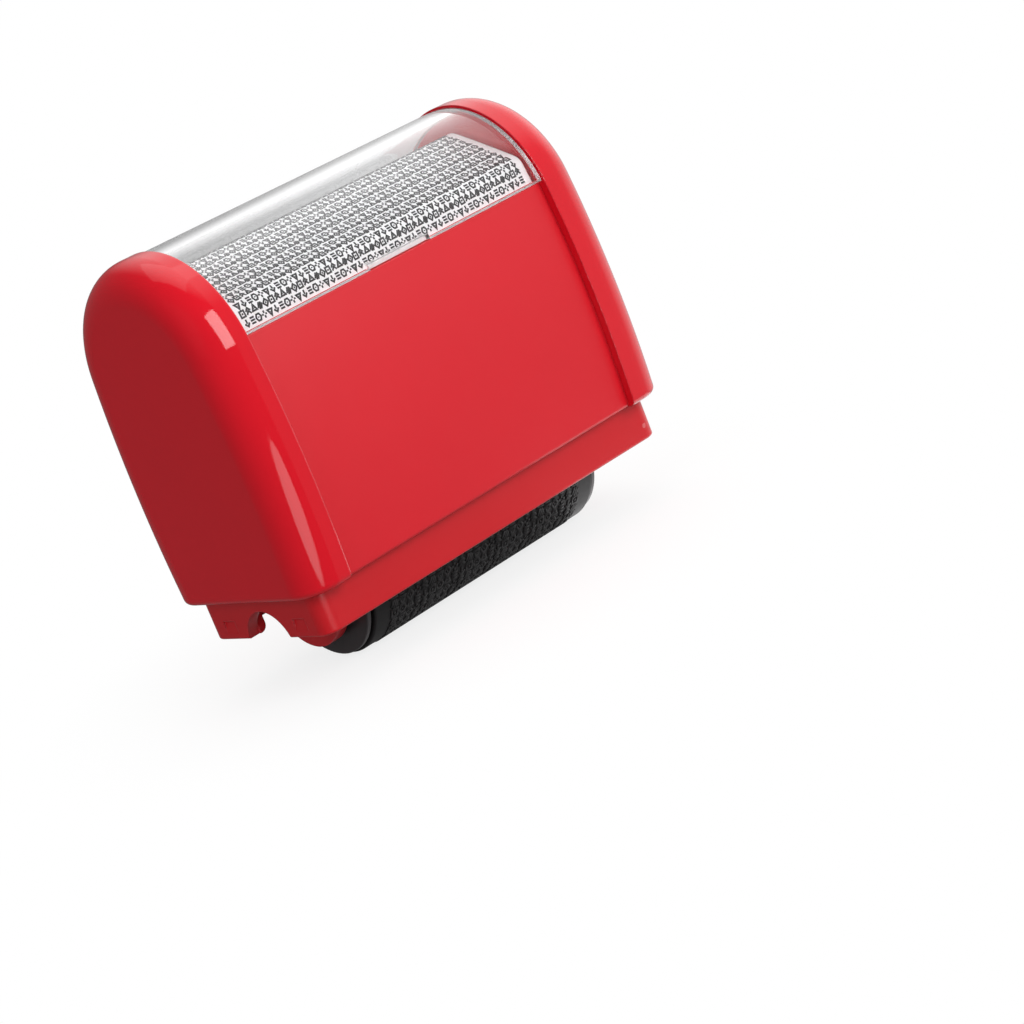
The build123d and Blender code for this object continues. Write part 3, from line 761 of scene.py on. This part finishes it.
def soaked_foam(colours):
    """Foam that is dark and wet with ink, drier and greyer in patches."""
    made, tree, shader, where = start_material("ink_foam")
    cells = node(tree, "ShaderNodeTexVoronoi", {"Vector": where, "Scale": 3200.0}).outputs["Distance"]
    patch = noise(tree, where, 240.0, 4.0, 0.6)
    dry = fit_range(tree, patch, 0.45, 0.75, 0.0, 0.6)
    shade = blend_colours(tree, dry, colours.foam_black, (0.045, 0.045, 0.055))
    rough = fit_range(tree, patch, 0.35, 0.7, 0.28, 0.62)
    feed(tree, shader, {"Base Color": shade, "Roughness": rough, "Normal": bumped(tree, cells, 0.00006)})
    return made


def white_floor(stage, colours):
    """A pale floor near the object that runs out into even white further away.

    That is what the camera sees, also through the window. The light that it returns to the object is dimmer,
    most so at the left.
    """
    made, tree, shader, where = start_material("pale_floor")
    glow_share = fit_range(tree, measure(tree, "LENGTH", where), *GLOW_REACH, 0.80, 1.0)
    cloud = fit_range(tree, noise(tree, where, 30.0, 3.0), 0.3, 0.7, 0.0, 0.02)
    pale = blend_colours(tree, cloud, colours.floor_white, (0.88, 0.88, 0.88))
    across = node(tree, "ShaderNodeSeparateXYZ", {"Vector": where}).outputs["X"]
    returned = fit_range(tree, across, *RETURN_REACH, stage.floor_low, stage.floor_high)
    path = node(tree, "ShaderNodeLightPath").outputs
    seen = calculate(tree, "MAXIMUM", path["Is Camera Ray"], path["Is Transmission Ray"])
    shade = blend_colours(tree, seen, scaled(tree, pale, returned), pale)
    feed(tree, shader, {"Base Color": shade, "Roughness": 0.9, "Specular IOR Level": 0.0})
    glow = node(tree, "ShaderNodeEmission", {"Color": WHITE, "Strength": 1.0}).outputs["Emission"]
    glowing = calculate(tree, "MULTIPLY", glow_share, seen)
    mix_into(tree.nodes["Material Output"], glowing, shader.outputs["BSDF"], glow)
    return made


def dress(material, *names):
    """Gives nodes of the frame a finish."""
    for name in names:
        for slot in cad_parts[name].material_slots:
            slot.material = material


# Pieces

def label_line(sizes):
    """The card's outer line across the stamp, from its front foot over the ridge to its back foot.

    The roof falls at the roof angle from a ridge that its radius takes down by r * (1 / cos - 1), the
    flaps lean at the flap angle from the card's feet, and they meet at the bends.
    """
    low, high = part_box("label_card")
    fall = math.tan(sizes.roof_angle)
    lean = math.tan(sizes.flap_lean)
    ridge_z = high.z + sizes.ridge_radius * (1 / math.cos(sizes.roof_angle) - 1)
    bend_y = (high.y - lean * (ridge_z - low.z)) / (1 - lean * fall)
    bend_z = ridge_z - bend_y * fall
    corners = [(-high.y, low.z), (-bend_y, bend_z), (0.0, ridge_z), (bend_y, bend_z), (high.y, low.z)]
    return rounded_line(corners, [sizes.bend_radius, sizes.ridge_radius, sizes.bend_radius], steps=32)


def over_line(path):
    """A surface that carries a flat pattern along a path in Y and Z, and the path's length.

    u is X, v runs along the path, and height stands off it.
    """
    run = np.concatenate([[0.0], np.cumsum(np.hypot(*np.diff(path, axis=0).T))])
    direction = np.gradient(path, run, axis=0)
    direction /= np.hypot(*direction.T)[:, None]

    def surface(u, v, height):
        along = [np.interp(v, run, direction[:, axis]) for axis in (0, 1)]
        y = np.interp(v, run, path[:, 0]) - height * along[1]
        z = np.interp(v, run, path[:, 1]) + height * along[0]
        return np.column_stack([u, y, z])

    return surface, run[-1]


def stroke_section(half_foot, half_face, foot, face):
    """The section of a raised line as (across, height) points, from its foot up over its face."""
    return np.array([(half_foot, foot), (half_face, face), (-half_face, face), (-half_foot, foot)])


def label_print(sizes, material):
    """Rows of printed marks over the whole card."""
    surface, reach = over_line(label_line(sizes))
    low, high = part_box("label_card")
    half_stroke = sizes.label_stroke / 2
    first_row = sizes.label_foot_margin + sizes.label_mark_half_height
    rows = int((reach - 2 * first_row) / sizes.label_row_pitch) + 1
    columns = int((high.x - low.x - 2 * sizes.label_margin) / sizes.label_mark_pitch)
    row_places = np.linspace(first_row, reach - first_row, rows)
    section = stroke_section(half_stroke, half_stroke, -SUNK / 2, sizes.label_ink)
    shapes = mark_shapes(sizes.label_mark_half_width, sizes.label_mark_half_height, section, LABEL_STEP)
    centres = field_centres(columns, sizes.label_mark_pitch, row_places)
    kinds = mark_kinds(rows, columns, shift=4, seed=11)
    made = mark_field("label_print", shapes, centres, kinds, surface, material)
    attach(made, "lid")
    return made


def turned_sizes(name):
    """The two ends in X, the radius and the axle's height of a piece that is round about a line along X."""
    low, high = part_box(name)
    return low.x, high.x, (high.z - low.z) / 2, (low.z + high.z) / 2


def tube_profile(ends, inner, outer, edge, steps):
    """The (x, radius) points of half a tube's section, with its two outer edges rounded."""
    left, right = ends
    corners = [(left, inner), (left, outer), (right, outer), (right, inner)]
    return rounded_line(corners, [edge, edge], steps)


def sleeve_body(sizes, material):
    """The rubber sleeve's plain tube: a rectangle with two rounded outer edges, turned about the axle."""
    *ends, outer, centre_z = turned_sizes("stamp_sleeve")
    inner = turned_sizes("roller_core")[2]
    profile = tube_profile(ends, inner, outer - sizes.relief_height, sizes.sleeve_edge, steps=7)
    around = 240
    radius = np.tile(profile[:, 1], (around, 1))
    made = turned_body("stamp_sleeve_rubber", profile[:, 0], radius, centre_z, material, math.radians(40))
    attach(made, "stamp_roller")
    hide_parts("stamp_sleeve")
    return made


def sleeve_marks(sizes, material):
    """Raised marks round the sleeve, each line narrower at its printing face than at its foot."""
    left, right, outer, centre_z = turned_sizes("stamp_sleeve")
    base = outer - sizes.relief_height
    half_stroke = sizes.relief_stroke / 2
    section = stroke_section(half_stroke + sizes.relief_draft, half_stroke, -SUNK, sizes.relief_height)
    row_places = np.arange(sizes.relief_rows) * FULL_TURN * outer / sizes.relief_rows
    pitch = (right - left - 2 * PLAIN_MARGIN) / sizes.relief_columns

    def surface(u, v, height):
        """u is X, v / outer the angle round the sleeve, and height stands off the sleeve's base."""
        return round_points(u, base + height, v / outer, centre_z)

    shapes = mark_shapes(sizes.relief_mark_half_width, sizes.relief_mark_half_height, section, RELIEF_STEP)
    centres = field_centres(sizes.relief_columns, pitch, row_places)
    kinds = mark_kinds(sizes.relief_rows, sizes.relief_columns, shift=5, seed=23)
    made = mark_field("stamp_sleeve_marks", shapes, centres, kinds, surface, material)
    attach(made, "stamp_roller")
    return made


def pore_field(rows, columns, step, pore, seed):
    """A height field of soft pits, from 0 down to -1.

    Even noise is filtered in its spectrum to waves about as long as a pore, by
    k**2 * exp(-k**2) with k the wave number times half the pore, and only its valleys are kept.
    """
    random = np.random.default_rng(seed).standard_normal((rows, columns))
    row_wave, column_wave = (np.fft.fftfreq(count, step) * FULL_TURN for count in (rows, columns))
    wave = (row_wave[:, None] ** 2 + column_wave**2) * (pore / 2) ** 2
    field = np.fft.ifft2(np.fft.fft2(random) * wave * np.exp(-wave)).real
    field /= field.std()
    valley_edge, deepest = -0.2, -2.2
    return -np.clip((field - valley_edge) / (deepest - valley_edge), 0.0, 1.0)


def ink_foam(sizes, material):
    """The foam sleeve: a tube with rounded edges, turned about its axle, whose outside is sunk by pores.

    The radius at each point is the profile's less the pores' depth there, which fades out towards the bore.
    """
    *ends, outer, centre_z = turned_sizes("ink_foam")
    inner = turned_sizes("ink_core")[2]
    profile = divided(tube_profile(ends, inner, outer, sizes.foam_edge, steps=6), False, FOAM_STEP)
    around = int(FULL_TURN * outer / FOAM_STEP)
    pits = pore_field(around, len(profile), FOAM_STEP, sizes.foam_pore_size, seed=5)
    off_bore = np.clip((profile[:, 1] - inner) / (outer - inner), 0.0, 1.0)
    radius = profile[:, 1] + sizes.foam_pore_depth * pits * off_bore
    made = turned_body("ink_foam_sponge", profile[:, 0], radius, centre_z, material, math.radians(60))
    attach(made, "ink_roller")
    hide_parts("ink_foam")
    return made


# Stage

def round_floor(stage, material):
    """The floor: a disc of rings about the object, with the radius growing as the ring's share squared."""
    rings, spokes, first_share = 12, 96, 0.02
    reach = stage.floor_radius * (np.linspace(first_share, 1, rings) ** 2)[:, None]
    turn = np.linspace(0, FULL_TURN, spokes, endpoint=False)
    flat = np.stack([reach * np.cos(turn), reach * np.sin(turn), np.zeros((rings, spokes))], axis=-1)
    points = np.vstack([flat.reshape(-1, 3), np.zeros((1, 3))])
    quads = grid_quads(rings, spokes, False)[:, ::-1]
    middle = np.full(spokes // 2, len(points) - 1)
    first = np.arange(0, spokes, 2)
    hub = np.column_stack([middle, first, first + 1, (first + 2) % spokes])
    made = quad_object("floor", points, np.vstack([quads, hub]), material)
    made.visible_glossy = False
    made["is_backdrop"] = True
    return made


def aimed(where, target, turn):
    """The placing of what looks from one point to another and is then turned about its line of sight."""
    level = (Vector(target) - Vector(where)).to_track_quat("-Z", "Y").to_matrix().to_4x4()
    return Matrix.Translation(where) @ level @ Matrix.Rotation(turn, 4, "Z")


def area_light(name, where, size, power, target, shape="RECTANGLE", turn=0.0):
    """A soft light at a place, aimed at a target."""
    lamp = bpy.data.lights.new(name, "AREA")
    lamp.shape = shape
    lamp.size, lamp.size_y = size
    lamp.energy = power
    made = link(bpy.data.objects.new(name, lamp))
    made.matrix_world = aimed(where, target, turn)
    return made


def room_light(stage):
    """Plain white for the camera, and for surfaces a room with a bright ceiling and a darker left side."""
    world = bpy.data.worlds.new("studio")
    bpy.context.scene.world = world
    world.use_nodes = True
    tree = world.node_tree
    seen = tree.nodes["Background"]
    feed(tree, seen, {"Color": WHITE})
    direction = node(tree, "ShaderNodeTexCoord").outputs["Generated"]
    path = node(tree, "ShaderNodeLightPath").outputs
    right, front_right = (1.0, 0.0, 0.0), (0.80, -0.60, 0.0)
    overhead, down = (0.60, 0.25, 0.76), (0.0, 0.0, -1.0)

    def towards(side, low, high, from_light, to_light):
        """Light that grows softly with how far a direction points to one side."""
        return fit_range(tree, measure(tree, "DOT_PRODUCT", direction, side), low, high, from_light, to_light)

    lighting = towards(front_right, -0.95, 0.95, stage.room_shade, stage.room_front)
    right_side = towards(right, 0.44, 0.66, stage.mirrored_left, stage.mirrored_right)
    far_right = towards(right, 0.80, 0.98, 0.0, stage.mirrored_edge)
    feeds = {0: path["Is Glossy Ray"], 2: lighting, 3: calculate(tree, "ADD", right_side, far_right)}
    sides = node(tree, "ShaderNodeMix", feeds, data_type="FLOAT").outputs[0]
    ceiling = towards(overhead, 0.60, 0.95, 0.0, stage.room_ceiling)
    ground = towards(down, 0.40, 0.80, 0.0, stage.room_ground)
    strength = calculate(tree, "ADD", calculate(tree, "ADD", sides, ceiling), ground)
    lit = node(tree, "ShaderNodeBackground", {"Color": WHITE, "Strength": strength}).outputs["Background"]
    mix_into(tree.nodes["World Output"], path["Is Camera Ray"], lit, seen.outputs["Background"])


def photo_camera(stage):
    """The camera, looking at its target."""
    lens = bpy.data.cameras.new("photo_camera")
    lens.lens = stage.camera_lens
    lens.clip_start, lens.clip_end = 0.01, 20.0
    made = link(bpy.data.objects.new("photo_camera", lens))
    made.matrix_world = aimed(stage.camera_place, stage.camera_target, stage.camera_roll)
    bpy.context.scene.camera = made


# Operators

class ROLLERSTAMP_OT_stage(bpy.types.Operator):
    """Sets the camera, the lights, the room and the floor"""

    bl_idname = "roller_stamp.stage"
    bl_label = "Stage"

    def execute(self, context):
        stage = context.scene.roller_stamp_stage
        low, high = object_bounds()
        middle = (low + high) / 2
        photo_camera(stage)
        for kind in ("key", "top", "fill"):
            where, size, power = (getattr(stage, f"{kind}_{value}") for value in ("place", "size", "power"))
            lamp = area_light(f"{kind}_light", where, (size, size), power, middle)
            lamp.visible_glossy = kind != "fill"
        corner = Vector((low.x, low.y, stage.strip_place[2]))
        size, turn = (stage.strip_width, stage.strip_height), stage.strip_turn
        strip = area_light("strip_light", stage.strip_place, size, stage.strip_power, corner, "ELLIPSE", turn)
        above = Vector(stage.table_place) + Vector((0.0, 0.0, 1.0))
        size = (stage.table_size, stage.table_size)
        table = area_light("table_glow", stage.table_place, size, stage.table_power, above)
        for mirror_only in (strip, table):
            mirror_only.visible_diffuse = False
            mirror_only.visible_camera = False
            mirror_only.visible_transmission = False
        room_light(stage)
        round_floor(stage, white_floor(stage, context.scene.roller_stamp_colours))
        context.scene.view_settings.view_transform = "Standard"
        return {"FINISHED"}


class ROLLERSTAMP_OT_shell(bpy.types.Operator):
    """Gives the two end caps and the two panels their glossy red finish"""

    bl_idname = "roller_stamp.shell"
    bl_label = "Caps and Panels"

    def execute(self, context):
        colours = context.scene.roller_stamp_colours
        red = colours.shell_red
        caps = red_plastic("red_cap", colours, red, roughness=0.07, drift=0.04, grain=0.0000006, highlight_and_wear=0.55)
        panels = red_plastic("red_panel", colours, red, roughness=0.36, drift=0.08, grain=0.000002, highlight_and_wear=0.50)
        dress(caps, *CAPS)
        dress(panels, *PANELS)
        return {"FINISHED"}


class ROLLERSTAMP_OT_frame(bpy.types.Operator):
    """Gives the skirt, the cheeks and the tie bars their satin red finish"""

    bl_idname = "roller_stamp.frame"
    bl_label = "Skirt and Carriage"

    def execute(self, context):
        colours = context.scene.roller_stamp_colours
        red = colours.frame_red
        satin = red_plastic("red_frame", colours, red, roughness=0.32, drift=0.10, grain=0.000003, highlight_and_wear=0.35)
        dress(satin, *FRAME_PIECES)
        return {"FINISHED"}


class ROLLERSTAMP_OT_lid(bpy.types.Operator):
    """Finishes the clear window, the lid bed and the card, and prints the marks on the card"""

    bl_idname = "roller_stamp.lid"
    bl_label = "Window and Label"

    def execute(self, context):
        scene = context.scene
        colours = scene.roller_stamp_colours
        red = colours.frame_red
        bed = red_plastic("red_bed", colours, red, roughness=0.42, drift=0.10, grain=0.000003, highlight_and_wear=0.2)
        dress(clear_plastic(colours), "window_cover")
        dress(bed, "label_bed")
        dress(paper(colours), "label_card")
        label_print(scene.roller_stamp_sizes, printing_ink(colours))
        return {"FINISHED"}


class ROLLERSTAMP_OT_stamp_roller(bpy.types.Operator):
    """Makes the rubber sleeve with its raised marks, and finishes the end discs and the core"""

    bl_idname = "roller_stamp.stamp_roller"
    bl_label = "Stamp Roller"

    def execute(self, context):
        scene = context.scene
        rubber = black_rubber(scene.roller_stamp_colours)
        sleeve_body(scene.roller_stamp_sizes, rubber)
        sleeve_marks(scene.roller_stamp_sizes, rubber)
        dress(black_disc(scene.roller_stamp_colours), *DISCS, "roller_core")
        return {"FINISHED"}


class ROLLERSTAMP_OT_ink_roller(bpy.types.Operator):
    """Makes the ink foam with its pores"""

    bl_idname = "roller_stamp.ink_roller"
    bl_label = "Ink Foam"

    def execute(self, context):
        scene = context.scene
        ink_foam(scene.roller_stamp_sizes, soaked_foam(scene.roller_stamp_colours))
        return {"FINISHED"}


class ROLLERSTAMP_OT_bearings(bpy.types.Operator):
    """Finishes the milky bushes, ink caps and ink core, and the steel axles"""

    bl_idname = "roller_stamp.bearings"
    bl_label = "Bearings and Axles"

    def execute(self, context):
        colours = context.scene.roller_stamp_colours
        dress(milky_plastic(colours), *BEARINGS)
        dress(turned_steel(colours), *PINS)
        return {"FINISHED"}


OPERATORS = (
    ROLLERSTAMP_OT_stage,
    ROLLERSTAMP_OT_shell,
    ROLLERSTAMP_OT_frame,
    ROLLERSTAMP_OT_lid,
    ROLLERSTAMP_OT_stamp_roller,
    ROLLERSTAMP_OT_ink_roller,
    ROLLERSTAMP_OT_bearings,
)


class ROLLERSTAMP_PT_sidebar(bpy.types.Panel):
    """Lists the steps and the values that they use"""

    bl_label = "Roller Stamp"
    bl_idname = "ROLLERSTAMP_PT_sidebar"
    bl_space_type = "VIEW_3D"
    bl_region_type = "UI"
    bl_category = "Roller Stamp"

    def draw(self, context):
        for step in OPERATORS:
            self.layout.operator(step.bl_idname)
        for group in SETTINGS:
            box = self.layout.box()
            settings = getattr(context.scene, group)
            for key in settings.__annotations__:
                box.prop(settings, key)


CLASSES = (*SETTINGS.values(), *OPERATORS, ROLLERSTAMP_PT_sidebar)


def register():
    """Registers the classes and hangs the settings on the scene."""
    for made in CLASSES:
        bpy.utils.register_class(made)
    for name, settings in SETTINGS.items():
        setattr(bpy.types.Scene, name, PointerProperty(type=settings))


def unregister():
    """Takes the settings off the scene and unregisters the classes."""
    for name in SETTINGS:
        delattr(bpy.types.Scene, name)
    for made in reversed(CLASSES):
        bpy.utils.unregister_class(made)


def main():
    """Makes everything in order."""
    register()
    bpy.ops.roller_stamp.stage()
    bpy.ops.roller_stamp.shell()
    bpy.ops.roller_stamp.frame()
    bpy.ops.roller_stamp.lid()
    bpy.ops.roller_stamp.stamp_roller()
    bpy.ops.roller_stamp.ink_roller()
    bpy.ops.roller_stamp.bearings()


if __name__ == "__main__":
    main()
